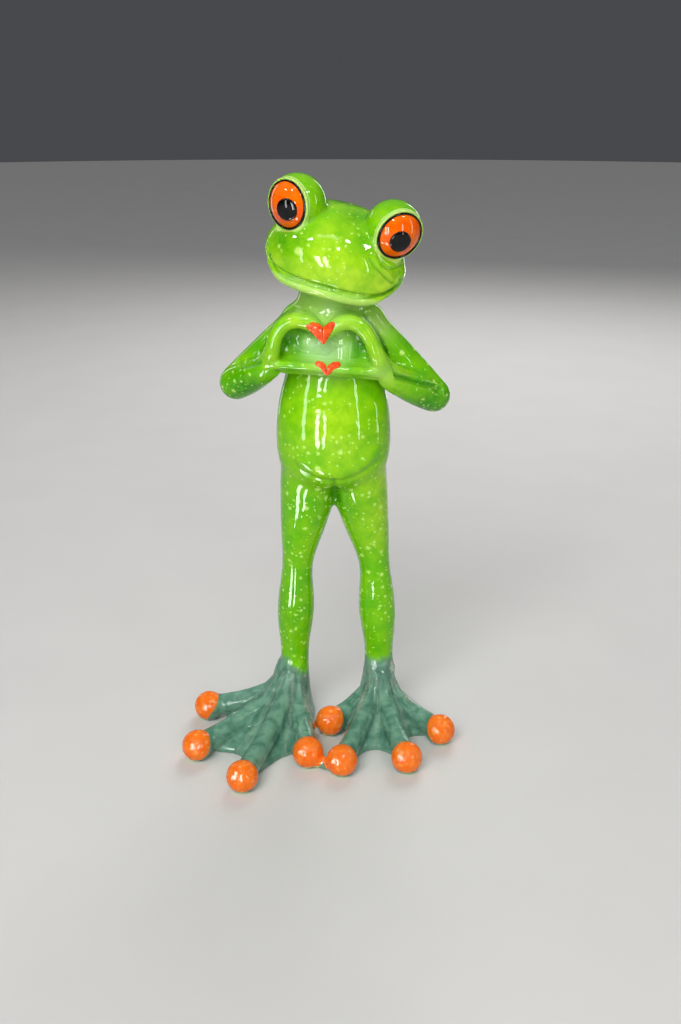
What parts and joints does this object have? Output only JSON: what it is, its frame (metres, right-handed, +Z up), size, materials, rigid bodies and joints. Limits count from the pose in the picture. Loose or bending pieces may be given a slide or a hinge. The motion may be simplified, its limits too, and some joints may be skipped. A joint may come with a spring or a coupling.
{
  "type": "frog figurine",
  "caption": "Standing frog ornament on long legs and splayed webbed feet, head tilted, both hands raised before the chest to form a heart.",
  "frame": {"origin": "middle of the footprint's bounding box, on the table under the feet", "axes": "+Z up, the frog looks along -Y, +X is towards the frog's own left hand"},
  "size_m": [0.0814, 0.0548, 0.1651],
  "materials": {
    "green_lacquer": "cast polyresin, airbrushed leaf green with pale speckles under a clear gloss lacquer",
    "teal_lacquer": "cast polyresin, painted grey-teal and wiped back on the ridges, clear gloss lacquer",
    "toe_orange": "orange enamel, brushed on the toe balls, gloss lacquer",
    "heart_orange": "red-orange enamel, gloss lacquer",
    "iris_orange": "orange enamel dome under thick clear gloss",
    "eye_black": "black gloss enamel",
    "steel_wire": "plain drawn steel wire, cast in"
  },
  "bodies": {
    "root": {"head": "green_lacquer", "left_arm": "green_lacquer", "left_eye_iris": "iris_orange", "left_eye_rim": "eye_black", "left_finger_pad": "heart_orange", "left_foot": "teal_lacquer", "left_hand": "green_lacquer", "left_inner_toe_pad": "toe_orange", "left_leg": "green_lacquer", "left_leg_wire": "steel_wire", "left_outer_toe_pad": "toe_orange", "left_pupil": "eye_black", "left_second_toe_pad": "toe_orange", "left_shoulder_pin": "steel_wire", "left_third_toe_pad": "toe_orange", "left_thumb_pad": "heart_orange", "neck_pin": "steel_wire", "right_arm": "green_lacquer", "right_eye_iris": "iris_orange", "right_eye_rim": "eye_black", "right_finger_pad": "heart_orange", "right_foot": "teal_lacquer", "right_hand": "green_lacquer", "right_inner_toe_pad": "toe_orange", "right_leg": "green_lacquer", "right_leg_wire": "steel_wire", "right_outer_toe_pad": "toe_orange", "right_pupil": "eye_black", "right_second_toe_pad": "toe_orange", "right_shoulder_pin": "steel_wire", "right_third_toe_pad": "toe_orange", "right_thumb_pad": "heart_orange", "torso": "green_lacquer"}
  },
  "joints": []
}
